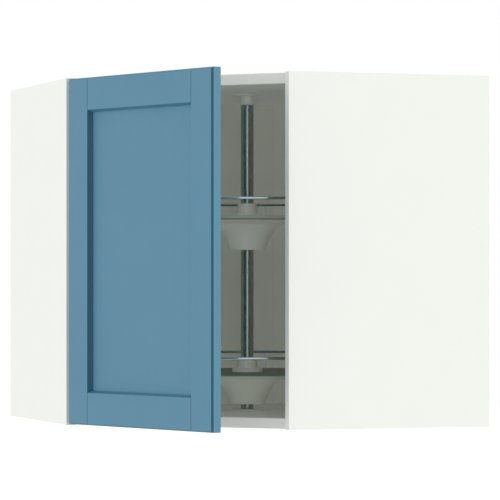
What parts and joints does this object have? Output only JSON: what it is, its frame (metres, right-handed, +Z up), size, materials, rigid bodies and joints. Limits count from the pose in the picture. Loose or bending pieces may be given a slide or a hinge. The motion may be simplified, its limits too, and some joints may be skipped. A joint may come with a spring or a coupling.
{
  "type": "corner wall cabinet with carousel",
  "caption": "Wall-hung diagonal corner cabinet with a framed hinged door and round glass shelves with rims that turn on a central pole.",
  "frame": {"origin": "the wall corner that the cabinet fits into, at the height of the cabinet's underside", "axes": "+Z up, +X out of the corner along the right wall, -Y out of the corner along the left wall; the doorway faces +X -Y at 45 degrees"},
  "size_m": [0.7453, 0.665, 0.6],
  "materials": {
    "carcass_white": "white foil on particle board, satin",
    "back_white": "white foil on thin fibreboard, matte",
    "door_blue": "grey-blue lacquer on fibreboard, satin",
    "white_plastic": "moulded, matte",
    "grey_plastic": "moulded, satin",
    "clear_plastic": "translucent, glossy",
    "zinc": "zinc plated",
    "nickel": "nickel plated, satin",
    "chrome": "polished chrome plate",
    "shelf_glass": "clear toughened glass with a green edge"
  },
  "bodies": {
    "carcass": {"left_side_panel": "carcass_white", "right_side_panel": "carcass_white", "top_panel": "carcass_white", "bottom_panel": "carcass_white", "corner_back_board": "carcass_white", "left_back_panel": "back_white", "right_back_panel": "back_white", "left_hanger_housing": "white_plastic", "right_hanger_housing": "white_plastic", "left_hanger_hook": "zinc", "right_hanger_hook": "zinc", "left_top_cam_rear": "zinc", "left_top_cam_front": "zinc", "left_bottom_cam_rear": "zinc", "left_bottom_cam_front": "zinc", "right_top_cam_rear": "zinc", "right_top_cam_front": "zinc", "right_bottom_cam_rear": "zinc", "right_bottom_cam_front": "zinc", "lower_hinge_plate": "nickel", "upper_hinge_plate": "nickel", "lower_hinge_arm": "nickel", "upper_hinge_arm": "nickel", "lower_hinge_screw_low": "zinc", "lower_hinge_screw_high": "zinc", "upper_hinge_screw_low": "zinc", "upper_hinge_screw_high": "zinc", "pole": "chrome", "ceiling_socket": "grey_plastic", "floor_socket": "grey_plastic", "lower_stop_ring": "zinc", "upper_stop_ring": "zinc", "lower_stop_screw": "zinc", "upper_stop_screw": "zinc"},
    "door": {"door_hinge_stile": "door_blue", "door_free_stile": "door_blue", "door_top_rail": "door_blue", "door_bottom_rail": "door_blue", "door_panel": "door_blue", "lower_hinge_cup": "nickel", "upper_hinge_cup": "nickel", "lower_hinge_pin": "zinc", "upper_hinge_pin": "zinc"},
    "upper_shelf": {"upper_shelf_glass": "shelf_glass", "upper_shelf_rim": "chrome", "upper_rim_post_1": "clear_plastic", "upper_rim_post_2": "clear_plastic", "upper_rim_post_3": "clear_plastic", "upper_shelf_collar": "grey_plastic", "upper_shelf_hub": "grey_plastic"},
    "lower_shelf": {"lower_shelf_glass": "shelf_glass", "lower_shelf_rim": "chrome", "lower_rim_post_1": "clear_plastic", "lower_rim_post_2": "clear_plastic", "lower_rim_post_3": "clear_plastic", "lower_shelf_collar": "grey_plastic", "lower_shelf_hub": "grey_plastic"}
  },
  "joints": [
    {"name": "door_hinge", "type": "hinge", "parent": "carcass", "child": "door", "pos_m": [0.38078, -0.65089, 0.3], "axis": [0, 0, -1], "range_deg": [-25.1, 69.9]},
    {"name": "upper_shelf_turn", "type": "hinge", "parent": "carcass", "child": "upper_shelf", "pos_m": [0.314, -0.314, 0.36], "axis": [0, 0, 1], "continuous": true},
    {"name": "lower_shelf_turn", "type": "hinge", "parent": "carcass", "child": "lower_shelf", "pos_m": [0.314, -0.314, 0.086], "axis": [0, 0, 1], "continuous": true}
  ]
}
